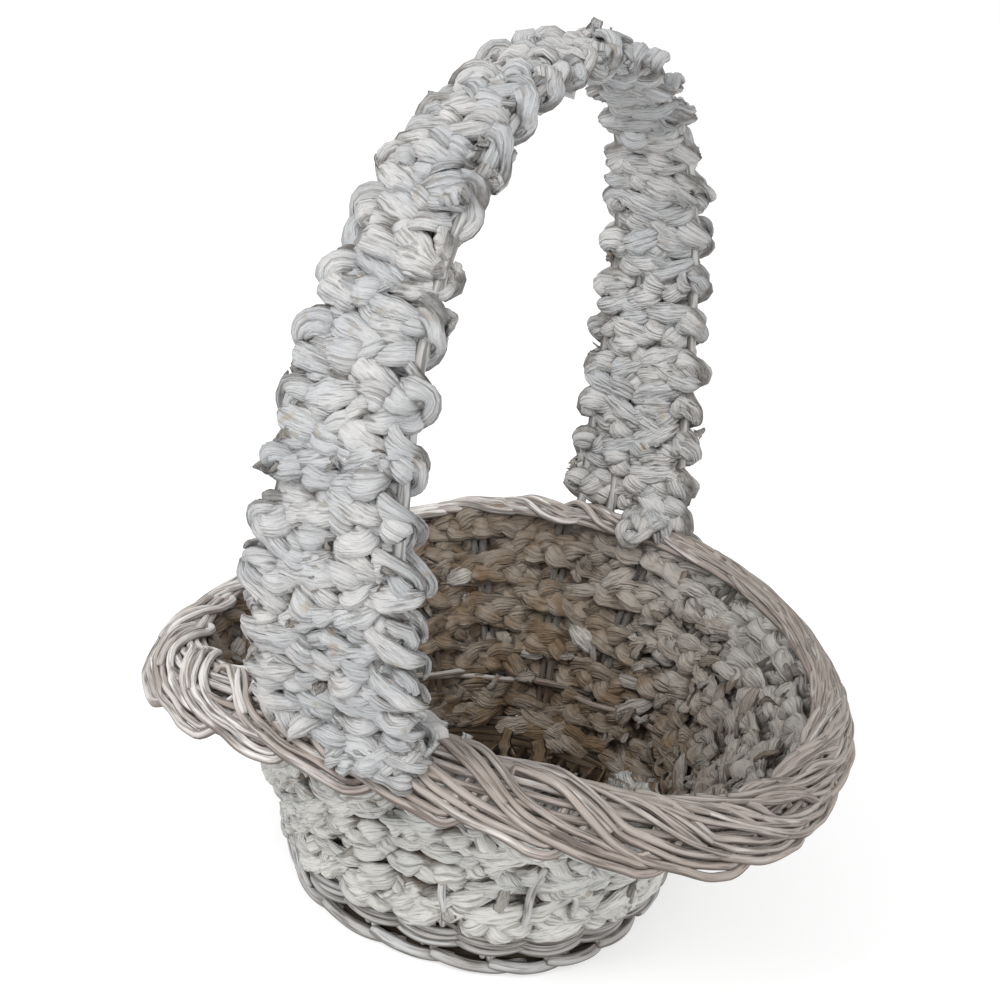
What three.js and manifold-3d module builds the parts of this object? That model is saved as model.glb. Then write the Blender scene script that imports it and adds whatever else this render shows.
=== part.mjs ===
// Flower girl basket: an oval bowl of husk plait woven round willow stakes, with a willow foot, a wide plaited
// willow rim that droops at both ends, and a fixed arched handle of willow rods woven over with husk plait.
// Millimetres, +Z up. X runs along the rim's long axis and Y from one foot of the handle to the other.
import * as THREE from "three";
import { mergeVertices } from "three/addons/utils/BufferGeometryUtils.js";
import Module from "manifold-3d";

const wasm = await Module();
wasm.setup();

// ---- Driving dimensions ----
const GAP = 0.3; // clearance between pieces that touch on the real basket
const OVAL_POWER = 2.4; // 2 is an ellipse, more is squarer

// Foot: a ring of thick rods that the basket stands on.
const FOOT = { halfX: 87, halfY: 91, width: 11, height: 7, steps: 40 };

// Wall: its mid-surface climbs two profiles, each a list of [half axis, height]: one at the ends of the rim's
// long axis and one under the handle's feet.
const WALL_AT_X = [[83, 7.5], [86, 21], [88, 35], [91, 48], [100, 61], [113, 73], [129, 83.5], [145, 91]];
const WALL_AT_Y = [[86, 7.5], [89, 21], [91, 35], [93, 49], [97.5, 67], [104, 86], [111.5, 105], [119, 123]];

// Upright stakes: rods laid in pairs.
const STAKE = { pairs: 20, rod: 3.6, steps: 10 };

// Layers woven between the stakes, from the foot upwards. height runs up the wall and depth through it.
const FOOT_WALE = { height: 3.4, depth: 3.4, space: 0.9 };
const WAIST_WALE = { height: 5.6, depth: 3.4, space: 1.6 };
const HUSK_ROW = { height: 10, depth: 5.6, space: 1.8 };
const FIRST_LAYER_UP = 0.5; // how far up the wall the first layer starts
const FOOT_WALES = 3;
const ROWS_BELOW_WAIST = 2;
const ROWS_ABOVE_WAIST = 6;
const BEND_ROOM = 1.2; // extra clearance between a layer and the stakes where the wall bends

// Rim: a three-strand plait on a sloping band between an inner and an outer oval.
const RIM_INNER = { halfX: 140, halfY: 114, height: 135 };
const RIM_OUTER = { halfX: 160, halfY: 142, height: 121 };
const RIM_DROOP = 30; // how much lower the band is at the ends of the long axis
const STRAND = { count: 3, width: 9, depth: 3.4, wave: 5.2, turns: 8, steps: 80 };

// Handle: the woven strap's two edges, as [left x, right x, y, height], from the front foot to the back foot.
const STRAP = [
  [-47, 24, -125, 124], [-46, 24, -130, 137], [-44.5, 25.5, -137, 152], [-42, 27, -145, 175], [-39.5, 27.5, -150, 212],
  [-33, 24, -145, 262], [-28.5, 20.5, -131, 302], [-24.5, 17.5, -108.5, 335], [-21, 16, -79, 360],
  [-18.5, 16, -43, 376], [-16.5, 17, 0, 381], [-16, 18.5, 42, 376.5], [-16, 20.5, 76, 363], [-17, 23, 102, 340],
  [-19, 26, 120, 309], [-21.5, 29.5, 130.5, 271], [-24.5, 32.5, 134.5, 225], [-26.5, 34.5, 135.5, 190],
  [-27, 36.5, 134, 162], [-26.5, 38, 130, 139], [-26.5, 38.5, 124, 124],
];
const STRAP_DEPTH = 15;
const STRAP_REACH = [0.064, 0.936]; // how far along the rods the weave starts and stops
const STRAP_JOINTS = [0.31, 0.69]; // where one stretch of weave ends and the next begins
const CORE_ROD = { diameter: 4.6, places: [-0.8, -0.28, 0.28, 0.8], steps: 36 };

// Base: a flat woven mat on a row of sticks, inside the foot.
const BASE = { halfX: 75, halfY: 78, low: 8, thickness: 4.5, steps: 32 };
const BASE_STICK = { count: 5, spacing: 26, diameter: 5, sides: 8 };

// ---- Materials ----
const paintedWillow = { color: 0xcfc6be, roughness: 0.7, metalness: 0 };
const paintedHusk = { color: 0xdcd9d4, roughness: 0.85, metalness: 0 };
const bareWillow = { color: 0xa38b6e, roughness: 0.8, metalness: 0 };
const innerHusk = { color: 0xc9bca8, roughness: 0.9, metalness: 0 };

// ---- Helpers ----
const basket = new THREE.Group();

function addPiece(name, geometry, finish) {
  const piece = new THREE.Mesh(geometry, new THREE.MeshStandardMaterial(finish));
  piece.name = name;
  basket.add(piece);
  return piece;
}

const signedPower = (value, power) => Math.sign(value) * Math.abs(value) ** power;

// A point on an oval; height is given for the Y ends, and droop lowers the X ends.
function ovalPoint(halfX, halfY, height, droop, angle) {
  const cos = signedPower(Math.cos(angle), 2 / OVAL_POWER);
  const sin = signedPower(Math.sin(angle), 2 / OVAL_POWER);
  return new THREE.Vector3(halfX * cos, halfY * sin, height - droop * cos * cos);
}

// Angles that split an oval into equal lengths.
function evenAngles(halfX, halfY, count) {
  const fine = 720;
  const angles = [];
  const lengths = [0];
  let last = ovalPoint(halfX, halfY, 0, 0, 0);
  for (let i = 1; i <= fine; i++) {
    const point = ovalPoint(halfX, halfY, 0, 0, (2 * Math.PI * i) / fine);
    lengths.push(lengths[i - 1] + point.distanceTo(last));
    last = point;
  }
  for (let k = 0, i = 0; k < count; k++) {
    const wanted = ((k + 0.5) / count) * lengths[fine];
    while (lengths[i + 1] < wanted) i++;
    const part = (wanted - lengths[i]) / (lengths[i + 1] - lengths[i]);
    angles.push((2 * Math.PI * (i + part)) / fine);
  }
  return angles;
}

function volumeOf(positions, indices) {
  const corner = (i) => new THREE.Vector3().fromArray(positions, 3 * indices[i]);
  let sum = 0;
  for (let i = 0; i < indices.length; i += 3) sum += corner(i).dot(corner(i + 1).cross(corner(i + 2)));
  return sum / 6;
}

// A solid through a row of sections, each a ring of points: joined end to start when closed, capped otherwise.
function loft(sections, closed) {
  const sides = sections[0].length;
  const positions = sections.flat().flatMap((point) => point.toArray());
  const indices = [];
  const spans = closed ? sections.length : sections.length - 1;
  for (let i = 0; i < spans; i++) {
    const here = i * sides;
    const next = ((i + 1) % sections.length) * sides;
    for (let j = 0; j < sides; j++) {
      const k = (j + 1) % sides;
      indices.push(here + j, here + k, next + k, here + j, next + k, next + j);
    }
  }
  const end = (sections.length - 1) * sides;
  for (let j = 1; !closed && j < sides - 1; j++) indices.push(0, j + 1, j, end, end + j, end + j + 1);
  if (volumeOf(positions, indices) < 0) indices.reverse();
  const geometry = new THREE.BufferGeometry();
  geometry.setAttribute("position", new THREE.Float32BufferAttribute(positions, 3));
  geometry.setIndex(indices);
  return geometry;
}

// A section's points about a centre, from an outline in units of half its width and half its depth.
function section(outline, centre, across, width, through, depth) {
  return outline.map(([u, v]) =>
    centre.clone().addScaledVector(across, (u * width) / 2).addScaledVector(through, (v * depth) / 2));
}
const RECTANGLE = [[-1, -1], [1, -1], [1, 1], [-1, 1]];
const LENS = [[-1, 0], [-0.55, -1], [0.55, -1], [1, 0], [0.55, 1], [-0.55, 1]];
const FLAT_BOTTOMED = [[-0.8, -1], [0.8, -1], [1, 0], [0.6, 1], [-0.6, 1], [-1, 0]];
const ROUND = Array.from({ length: 6 }, (_, i) => [Math.cos((i * Math.PI) / 3), Math.sin((i * Math.PI) / 3)]);

function toSolid(geometry) {
  const plain = geometry.clone();
  plain.deleteAttribute("normal");
  plain.deleteAttribute("uv");
  const merged = mergeVertices(plain, 1e-4);
  const triVerts = new Uint32Array(merged.index.array);
  return new wasm.Manifold(
    new wasm.Mesh({ numProp: 3, vertProperties: merged.attributes.position.array, triVerts }));
}

function cut(geometry, tools) {
  const mesh = tools.reduce((solid, tool) => solid.subtract(toSolid(tool)), toSolid(geometry)).getMesh();
  const result = new THREE.BufferGeometry();
  result.setAttribute("position", new THREE.BufferAttribute(mesh.vertProperties, 3));
  result.setIndex(new THREE.BufferAttribute(mesh.triVerts, 1));
  return result;
}

// ---- Wall ----
const profileOf = (points) => new THREE.SplineCurve(points.map(([out, up]) => new THREE.Vector2(out, up)));
const profileX = profileOf(WALL_AT_X);
const profileY = profileOf(WALL_AT_Y);
const WALL_LENGTH = profileY.getLength();

// The wall's mid-surface: up runs from 0 at the foot to 1 under the rim.
function wallPoint(up, angle) {
  const x = profileX.getPointAt(up);
  const y = profileY.getPointAt(up);
  return ovalPoint(x.x, y.x, y.y, y.y - x.y, angle);
}

// The wall's own directions at a point: round the bowl, up the wall, and out of it.
function wallFrame(up, angle) {
  const step = 0.01;
  const low = Math.max(up - step, 0);
  const high = Math.min(up + step, 1);
  const round = wallPoint(up, angle + step).sub(wallPoint(up, angle - step)).normalize();
  const climb = wallPoint(high, angle).sub(wallPoint(low, angle)).normalize();
  const out = round.clone().cross(climb).normalize();
  return { round, climb, out };
}

const stakeAngles = evenAngles(FOOT.halfX, FOOT.halfY, STAKE.pairs);

function addStakes() {
  stakeAngles.forEach((angle, k) => {
    const sections = Array.from({ length: STAKE.steps + 1 }, (_, i) => {
      const up = i / STAKE.steps;
      const frame = wallFrame(up, angle);
      return section(LENS, wallPoint(up, angle), frame.round, 2 * STAKE.rod, frame.out, STAKE.rod);
    });
    addPiece(`stake_pair_${String(k + 1).padStart(2, "0")}`, loft(sections, false), paintedWillow);
  });
}

// One layer woven in front of one stake pair and behind the next, all round the bowl.
function wovenRing(layer, up, phase) {
  const reach = STAKE.rod / 2 + layer.depth / 2 + GAP + BEND_ROOM;
  const shoulder = 0.25; // how far past a stake, in stake spacings, the layer keeps its side
  const sections = [];
  stakeAngles.forEach((angle, k) => {
    const spacing = (2 * Math.PI) / STAKE.pairs;
    const side = (k + phase) % 2 ? reach : -reach;
    for (const offset of [-shoulder, shoulder]) {
      const place = angle + offset * spacing;
      const frame = wallFrame(up, place);
      const centre = wallPoint(up, place).addScaledVector(frame.out, side);
      sections.push(section(RECTANGLE, centre, frame.out, layer.depth, frame.climb, layer.height));
    }
  });
  return loft(sections, true);
}

function addWovenLayers() {
  let reached = FIRST_LAYER_UP;
  let phase = 0;
  const add = (name, layer, finish) => {
    addPiece(name, wovenRing(layer, (reached + layer.height / 2) / WALL_LENGTH, phase), finish);
    reached += layer.height + layer.space;
    phase = 1 - phase;
  };
  const rows = ROWS_BELOW_WAIST + ROWS_ABOVE_WAIST;
  for (let course = 1; course <= FOOT_WALES; course++) add(`foot_wale_${course}`, FOOT_WALE, paintedWillow);
  for (let row = 1; row <= rows; row++) {
    if (row === ROWS_BELOW_WAIST + 1) add("waist_wale", WAIST_WALE, paintedWillow);
    add(`husk_row_${row}`, HUSK_ROW, innerHusk);
  }
}

// ---- Foot and base ----
function addFoot() {
  const sections = evenAngles(FOOT.halfX, FOOT.halfY, FOOT.steps).map((angle) => {
    const centre = ovalPoint(FOOT.halfX - FOOT.width / 2, FOOT.halfY - FOOT.width / 2, FOOT.height / 2, 0, angle);
    const out = new THREE.Vector3(centre.x, centre.y, 0).normalize();
    return section(FLAT_BOTTOMED, centre, out, FOOT.width, new THREE.Vector3(0, 0, 1), FOOT.height);
  });
  addPiece("foot_border", loft(sections, true), paintedWillow);
}

function addBase() {
  const outline = new THREE.Shape(
    evenAngles(BASE.halfX, BASE.halfY, BASE.steps).map((angle) => {
      const point = ovalPoint(BASE.halfX, BASE.halfY, 0, 0, angle);
      return new THREE.Vector2(point.x, point.y);
    }));
  const mat = new THREE.ExtrudeGeometry(outline, { depth: BASE.thickness, bevelEnabled: false });
  addPiece("base_mat", mat, bareWillow).position.z = BASE.low;
  const radius = BASE_STICK.diameter / 2;
  for (let i = 0; i < BASE_STICK.count; i++) {
    const y = (i - (BASE_STICK.count - 1) / 2) * BASE_STICK.spacing;
    const inside = 1 - Math.abs(y / (FOOT.halfY - FOOT.width)) ** OVAL_POWER;
    const reach = (FOOT.halfX - FOOT.width) * inside ** (1 / OVAL_POWER) - BASE_STICK.diameter;
    const stick = new THREE.CylinderGeometry(radius, radius, 2 * reach, BASE_STICK.sides);
    const piece = addPiece(`base_stick_${i + 1}`, stick, bareWillow);
    piece.rotation.z = Math.PI / 2;
    piece.position.set(0, y, BASE.low - GAP - radius);
  }
}

// ---- Rim ----
function addRim() {
  const middle = (key) => (RIM_INNER[key] + RIM_OUTER[key]) / 2;
  const angles = evenAngles(middle("halfX"), middle("halfY"), STRAND.steps);
  for (let strand = 0; strand < STRAND.count; strand++) {
    const sections = angles.map((angle, i) => {
      const inner = ovalPoint(RIM_INNER.halfX, RIM_INNER.halfY, RIM_INNER.height, RIM_DROOP, angle);
      const outer = ovalPoint(RIM_OUTER.halfX, RIM_OUTER.halfY, RIM_OUTER.height, RIM_DROOP, angle);
      const across = outer.clone().sub(inner);
      const sweep = (across.length() - STRAND.width) / 2;
      across.normalize();
      const ahead = ovalPoint(middle("halfX"), middle("halfY"), middle("height"), RIM_DROOP, angle + 0.01)
        .sub(ovalPoint(middle("halfX"), middle("halfY"), middle("height"), RIM_DROOP, angle - 0.01));
      const above = across.clone().cross(ahead).normalize();
      const turn = 2 * Math.PI * ((STRAND.turns * i) / STRAND.steps + strand / STRAND.count);
      const centre = inner.add(outer).multiplyScalar(0.5)
        .addScaledVector(across, sweep * Math.sin(turn))
        .addScaledVector(above, -STRAND.wave * Math.sin(2 * turn));
      return section(LENS, centre, across, STRAND.width, above, STRAND.depth);
    });
    addPiece(`rim_strand_${strand + 1}`, cut(loft(sections, true), rodChannels), paintedWillow);
  }
}

// ---- Handle ----
const strapLeft = new THREE.CatmullRomCurve3(STRAP.map(([left, , y, z]) => new THREE.Vector3(left, y, z)));
const strapRight = new THREE.CatmullRomCurve3(STRAP.map(([, right, y, z]) => new THREE.Vector3(right, y, z)));

// A place on the handle's middle surface: along runs from 0 to 1 and across from -1 to 1.
const strapPoint = (along, across) =>
  strapLeft.getPoint(along).lerp(strapRight.getPoint(along), (across + 1) / 2);

function strapOutward(along) {
  const step = 0.004;
  const before = strapPoint(Math.max(along - step, 0), 0);
  const ahead = strapPoint(Math.min(along + step, 1), 0).sub(before);
  return new THREE.Vector3(0, -ahead.z, ahead.y).normalize();
}

const acrossX = new THREE.Vector3(1, 0, 0);

// A rod along the handle; overrun carries both ends straight on.
function coreRod(place, diameter, overrun) {
  const steps = CORE_ROD.steps;
  const centres = Array.from({ length: steps + 1 }, (_, i) => strapPoint(i / steps, place));
  for (const [end, next] of [[0, 1], [steps, steps - 1]]) {
    centres[end].addScaledVector(centres[end].clone().sub(centres[next]).normalize(), overrun);
  }
  return loft(centres.map((centre, i) =>
    section(ROUND, centre, acrossX, diameter, strapOutward(i / steps), diameter)), false);
}
const rodChannels = CORE_ROD.places.map((place) => coreRod(place, CORE_ROD.diameter + 2.5 * GAP, 1));

function addHandle() {
  CORE_ROD.places.forEach((place, i) => {
    addPiece(`handle_rod_${i + 1}`, coreRod(place, CORE_ROD.diameter, 0), paintedWillow);
  });
  const seam = 0.0005; // half the clearance between two stretches, along the handle
  const stretches = {
    handle_weave_front: [STRAP_REACH[0], STRAP_JOINTS[0] - seam],
    handle_weave_crown: [STRAP_JOINTS[0] + seam, STRAP_JOINTS[1] - seam],
    handle_weave_back: [STRAP_JOINTS[1] + seam, STRAP_REACH[1]],
  };
  for (const [name, [from, to]] of Object.entries(stretches)) {
    const steps = Math.round((to - from) * CORE_ROD.steps);
    const sections = Array.from({ length: steps + 1 }, (_, i) => {
      const along = from + ((to - from) * i) / steps;
      const width = strapPoint(along, 1).x - strapPoint(along, -1).x;
      return section(RECTANGLE, strapPoint(along, 0), acrossX, width, strapOutward(along), STRAP_DEPTH);
    });
    addPiece(name, cut(loft(sections, false), rodChannels), paintedHusk);
  }
}

addFoot();
addBase();
addStakes();
addWovenLayers();
addRim();
addHandle();

// The origin is the middle of the whole basket's outline, on the surface it stands on.
const outline = new THREE.Box3().setFromObject(basket);
basket.position.set(-(outline.min.x + outline.max.x) / 2, -(outline.min.y + outline.max.y) / 2, -outline.min.z);

export default basket;
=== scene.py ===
"""The looks of the flower girl basket: husk plait, willow rods, light, floor and camera.

Lengths are millimetres in the basket's own frame, whose origin is the middle of the foot on the table.
Skin.build turns them into the row frame's metres.
"""

from math import cos, pi, radians, sin

import bpy
import numpy as np
from mathutils import Matrix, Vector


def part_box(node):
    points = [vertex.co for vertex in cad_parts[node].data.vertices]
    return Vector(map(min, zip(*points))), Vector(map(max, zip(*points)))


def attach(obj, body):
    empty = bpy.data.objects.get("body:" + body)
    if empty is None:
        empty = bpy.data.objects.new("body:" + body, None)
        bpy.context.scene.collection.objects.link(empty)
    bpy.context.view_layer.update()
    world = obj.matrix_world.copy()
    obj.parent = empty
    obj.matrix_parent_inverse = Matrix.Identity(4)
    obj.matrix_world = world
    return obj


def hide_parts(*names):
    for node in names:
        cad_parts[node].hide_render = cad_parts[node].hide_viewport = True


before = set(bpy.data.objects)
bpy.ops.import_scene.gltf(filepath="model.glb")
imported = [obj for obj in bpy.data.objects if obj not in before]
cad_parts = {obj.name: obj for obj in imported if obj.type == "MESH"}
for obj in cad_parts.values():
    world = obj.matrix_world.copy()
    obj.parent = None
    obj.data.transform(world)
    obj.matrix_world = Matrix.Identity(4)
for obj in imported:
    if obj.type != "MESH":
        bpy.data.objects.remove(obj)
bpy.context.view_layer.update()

# ---- Driving dimensions, as in the part ----
OVAL_POWER = 2.4
FOOT = {"half_x": 87, "half_y": 91}
# The wall's outline at the oval's two ends and at its two sides, as [out, up].
WALL_AT_X = [(83, 7.5), (86, 21), (88, 35), (91, 48), (100, 61), (113, 73), (129, 83.5), (145, 91)]
WALL_AT_Y = [(86, 7.5), (89, 21), (91, 35), (93, 49), (97.5, 67), (104, 86), (111.5, 105), (119, 123)]
STAKES = 20
STAKE_ROD = 3.6
FIRST_LAYER_UP = 0.5
FOOT_WALE = {"height": 3.4, "space": 0.9}
WAIST_WALE = {"height": 5.6, "space": 1.6}
HUSK_ROW = {"height": 10, "space": 1.8}
FOOT_WALES = 3
ROWS_BELOW_WAIST = 2
HUSK_ROWS = 8
RIM_INNER = {"half_x": 140, "half_y": 114, "height": 135}
RIM_OUTER = {"half_x": 160, "half_y": 142, "height": 121}
RIM_DROOP = 30
RIM_TURNS = 8
# The handle's edges along its way from foot to foot, as [left x, right x, y, z].
STRAP = [
    (-47, 24, -125, 124), (-46, 24, -130, 137), (-44.5, 25.5, -137, 152), (-42, 27, -145, 175),
    (-39.5, 27.5, -150, 212), (-33, 24, -145, 262), (-28.5, 20.5, -131, 302), (-24.5, 17.5, -108.5, 335),
    (-21, 16, -79, 360), (-18.5, 16, -43, 376), (-16.5, 17, 0, 381), (-16, 18.5, 42, 376.5),
    (-16, 20.5, 76, 363), (-17, 23, 102, 340), (-19, 26, 120, 309), (-21.5, 29.5, 130.5, 271),
    (-24.5, 32.5, 134.5, 225), (-26.5, 34.5, 135.5, 190), (-27, 36.5, 134, 162), (-26.5, 38, 130, 139),
    (-26.5, 38.5, 124, 124),
]
CORE_PLACES = (-0.8, -0.28, 0.28, 0.8)  # across the handle, from -1 to 1
CORE_ROD = 5.0
BASE_STICKS = 5
BASE_SPACING = 26

MM = 0.001
RIGHTWARD = np.array([1.0, 0, 0])
UPWARD = np.array([0, 0, 1.0])
foot_low, foot_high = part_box("foot_border")
CENTRE = np.array([(foot_low.x + foot_high.x) / 2, (foot_low.y + foot_high.y) / 2, 0.0])


# ---- Curves ----
def clamp(values):
    return np.clip(values, 0, 1)


def unit(vectors):
    return vectors / np.linalg.norm(vectors, axis=-1, keepdims=True)


def spline(points, closed=False, fine=12):
    """A smooth curve through the points, with fine steps between neighbours."""
    points = np.asarray(points, float)
    if closed:
        knots = np.vstack([points[-1:], points, points[:2]])
    else:
        knots = np.vstack([2 * points[0] - points[1], points, 2 * points[-1] - points[-2]])
    t = np.linspace(0, 1, fine, endpoint=False)[None, :, None]
    a, b, c, d = (knots[i : len(knots) - 3 + i, None, :] for i in range(4))
    curve = 0.5 * (2 * b + (c - a) * t + (2 * a - 5 * b + 4 * c - d) * t**2 + (3 * b - a - 3 * c + d) * t**3)
    curve = curve.reshape(-1, points.shape[1])
    return curve if closed else np.vstack([curve, points[-1]])


def travelled(path):
    """Distance along a path at each of its points, from the first three columns."""
    return np.concatenate([[0], np.cumsum(np.linalg.norm(np.diff(path[:, :3], axis=0), axis=1))])


def even_steps(path, step, closed=False):
    """The path again with points a step apart; all its columns are carried along."""
    if closed:
        path = np.vstack([path, path[:1]])
    far = travelled(path)
    count = max(int(round(far[-1] / step)), 3)
    places = np.linspace(0, far[-1], count + 1)
    evened = np.stack([np.interp(places, far, column) for column in path.T], axis=1)
    return evened[:-1] if closed else evened


def slope(path, closed=False):
    if closed:
        return unit(np.roll(path, -1, axis=0) - np.roll(path, 1, axis=0))
    return unit(np.gradient(path, axis=0))


WAVE_PARTS = (0.6, 1.0, 1.7)
WAVE_REACH = 1.7  # how far the three waves together mostly swing


def wobble(rng, places, length, size):
    """Smooth seeded noise along a line, with waves about that length."""
    total = np.zeros(np.shape(places))
    for part in WAVE_PARTS:
        wave = length * part * rng.uniform(0.85, 1.15)
        total += np.sin(2 * pi * np.asarray(places) / wave + rng.uniform(0, 2 * pi))
    return total * size / WAVE_REACH


def ring_wobble(rng, turns, waves, size):
    """The same for a closed ring: turns runs from 0 to 1, and the noise meets itself."""
    total = np.zeros(np.shape(turns))
    for part in WAVE_PARTS:
        total += np.sin(2 * pi * (round(waves * part) * np.asarray(turns) + rng.uniform()))
    return total * size / WAVE_REACH


def path_wobble(rng, far, length, size, closed):
    """The same at a path's points; far has one distance more than there are points."""
    if closed:
        return ring_wobble(rng, far[:-1] / far[-1], far[-1] / length, size)
    return wobble(rng, far[:-1], length, size)


def signed_power(values, power):
    return np.sign(values) * np.abs(values) ** power


def oval(half_x, half_y, height, droop, angle):
    x = signed_power(np.cos(angle), 2 / OVAL_POWER)
    y = signed_power(np.sin(angle), 2 / OVAL_POWER)
    return np.stack([half_x * x, half_y * y, height - droop * x * x], axis=-1)


def even_angle(half_x, half_y):
    """A function from the share of an oval's length, 0 to 1 and beyond, to its angle."""
    angles = np.linspace(0, 2 * pi, 1441)
    far = travelled(oval(half_x, half_y, 0, 0, angles))
    far /= far[-1]
    return lambda share: 2 * pi * np.floor(share) + np.interp(np.mod(share, 1), far, angles)


# ---- Wall ----
def profile(points):
    curve = spline(points, fine=24)
    far = np.concatenate([[0], np.cumsum(np.hypot(*np.diff(curve, axis=0).T))])
    return curve, far


profile_x, far_x = profile(WALL_AT_X)
profile_y, far_y = profile(WALL_AT_Y)
WALL_LENGTH = far_y[-1]
foot_angle = even_angle(FOOT["half_x"], FOOT["half_y"])


def wall_point(up, angle):
    """The wall's mid-surface; up runs from 0 at the foot to 1 under the rim."""
    up = clamp(up)
    out_x, high_x = (np.interp(up * far_x[-1], far_x, column) for column in profile_x.T)
    out_y, high_y = (np.interp(up * far_y[-1], far_y, column) for column in profile_y.T)
    return oval(out_x, out_y, high_y, high_y - high_x, angle)


def wall_frame(up, angle):
    """Round the bowl, up the wall, and out of it."""
    step = 0.02
    around = unit(wall_point(up, angle + step) - wall_point(up, angle - step))
    climb = unit(wall_point(np.minimum(up + step, 1), angle) - wall_point(np.maximum(up - step, 0), angle))
    return around, climb, unit(np.cross(around, climb))


# ---- Meshes ----
def put_in_scene(name, data):
    thing = bpy.data.objects.new(name, data)
    bpy.context.scene.collection.objects.link(thing)
    return thing


class Skin:
    """Gathers swept solids into one mesh, with the maps that its material reads.

    fibre is how far along a strand or rod a point is, and where round it.
    How hidden a point is goes in the second map as painted shade that darkens its colour, with a number that
    differs between strands.
    tone is how tan the husk is there.
    """

    def __init__(self):
        self.corners, self.quads, self.tris = [], [], []
        self.quad_fibre, self.tri_fibre = [], []
        self.hidden, self.shade, self.tan = [], [], []
        self.count = 0

    def add(self, rings, along, hidden, shade, tan, closed=False):
        """rings is steps by sides by 3; along has one place for each step, and one more when closed."""
        steps, sides, _ = rings.shape
        index = self.count + np.arange(steps * sides).reshape(steps, sides)
        rows = np.vstack([index, index[:1]]) if closed else index
        side = np.roll(rows, -1, axis=1)
        self.quads.append(np.stack([rows[:-1], side[:-1], side[1:], rows[1:]], axis=-1).reshape(-1, 4))
        spans = len(rows) - 1
        near, far = along[:spans, None], along[1 : spans + 1, None]
        low = np.arange(sides)[None] / sides
        high = low + 1 / sides
        places = np.broadcast_arrays(near, low, near, high, far, high, far, low)
        self.quad_fibre.append(np.stack(places, axis=-1).reshape(-1, 2))
        self.corners.append(rings.reshape(-1, 3))
        self.hidden.append(np.broadcast_to(hidden, (steps, sides)).ravel())
        self.tan.append(np.broadcast_to(tan, (steps, sides)).ravel())
        self.shade.append(np.full(steps * sides, float(shade)))
        self.count += steps * sides
        if not closed:
            self.cap(index[0][::-1], rings[0].mean(axis=0), along[0], shade)
            self.cap(index[-1], rings[-1].mean(axis=0), along[-1], shade)

    def cap(self, ring, middle, along, shade):
        sides = len(ring)
        self.tris.append(np.stack([np.full(sides, self.count), ring, np.roll(ring, -1)], axis=-1))
        around = np.arange(sides) / sides
        place = np.full(sides, along)
        corners = [place, around, place, around, place, around + 1 / sides]
        self.tri_fibre.append(np.stack(corners, axis=-1).reshape(-1, 2))
        self.corners.append(middle[None])
        # The cap's middle gets a little painted shade.
        self.hidden.append([0.4])
        self.tan.append([0.3])
        self.shade.append([float(shade)])
        self.count += 1

    def build(self, name, material, node):
        """Makes the gathered solids one piece, which stands for that CAD node."""
        corners = np.concatenate(self.corners) * MM + CENTRE
        quads = np.concatenate(self.quads)
        tris = np.concatenate(self.tris) if self.tris else np.zeros((0, 3), int)
        loops = np.concatenate([quads.ravel(), tris.ravel()])
        starts = np.concatenate([4 * np.arange(len(quads)), 4 * len(quads) + 3 * np.arange(len(tris))])
        mesh = bpy.data.meshes.new(name)
        mesh.vertices.add(len(corners))
        mesh.vertices.foreach_set("co", corners.astype(np.float32).ravel())
        mesh.loops.add(len(loops))
        mesh.loops.foreach_set("vertex_index", loops.astype(np.int32))
        mesh.polygons.add(len(starts))
        mesh.polygons.foreach_set("loop_start", starts.astype(np.int32))
        mesh.update(calc_edges=True)
        mesh.shade_smooth()
        hidden, shade, tan = (np.concatenate(part)[loops] for part in (self.hidden, self.shade, self.tan))
        maps = {
            "fibre": np.concatenate(self.quad_fibre + self.tri_fibre),
            "painted_shade_and_strand": np.stack([hidden, shade], axis=1),
            "tone": np.stack([tan, shade], axis=1),
        }
        for map_name, values in maps.items():
            mesh.uv_layers.new(name=map_name).data.foreach_set("uv", values.astype(np.float32).ravel())
        mesh.materials.append(material)
        piece = put_in_scene(name, mesh)
        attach(piece, "root")
        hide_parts(node)


def corner_turns(sides):
    return 2 * pi * np.arange(sides) / sides


def framed(path, normal, closed=False):
    """Directions across a path and through it, towards the normal."""
    ahead = slope(path, closed)
    across = unit(np.cross(np.broadcast_to(normal, path.shape), ahead))
    return across, np.cross(ahead, across)


def swept(path, across, through, x, y):
    """Rings round a path, from each corner's distances across it and through it."""
    return path[:, None] + across[:, None] * x[..., None] + through[:, None] * y[..., None]


ROD_STEP = 2.6
ROD_UNEVEN = 0.05
ROD_CUT_END = 0.82  # how thick a rod's cut ends are, as a share of the rod


def rod(skin, path, radius, rng, normal=UPWARD, closed=False, hidden=0.0, sides=9, fine=8, tan=None):
    """A willow rod through the points, a little uneven, with cut ends; its underside gets painted shade, and
    hidden adds painted shade all round.
    """
    path = even_steps(spline(path, closed, fine), ROD_STEP, closed)
    across, through = framed(path, normal, closed)
    far = np.arange(len(path) + 1) * ROD_STEP
    turn = corner_turns(sides)
    if closed:
        swell = 1 + ring_wobble(rng, np.arange(len(path)) / len(path), 17, ROD_UNEVEN)
    else:
        swell = 1 + wobble(rng, far[:-1], 38, ROD_UNEVEN)
        swell[[0, -1]] *= ROD_CUT_END
    lump = 1 + 0.035 * np.sin(2 * turn + rng.uniform(0, 6)) + 0.025 * np.sin(3 * turn + rng.uniform(0, 6))
    size = radius * swell[:, None] * lump[None, :]
    rings = swept(path, across, through, size * np.cos(turn), size * np.sin(turn))
    colour = 0.0 if tan is None else tan(rings)
    # Painted shade: darker on the rod's underside, plus the hidden amount all round.
    under = clamp(hidden + 1.5 * clamp(0.2 - np.sin(turn)))
    skin.add(rings, far + rng.uniform(0, 500), under[None, :], rng.uniform(), colour, closed)


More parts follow.
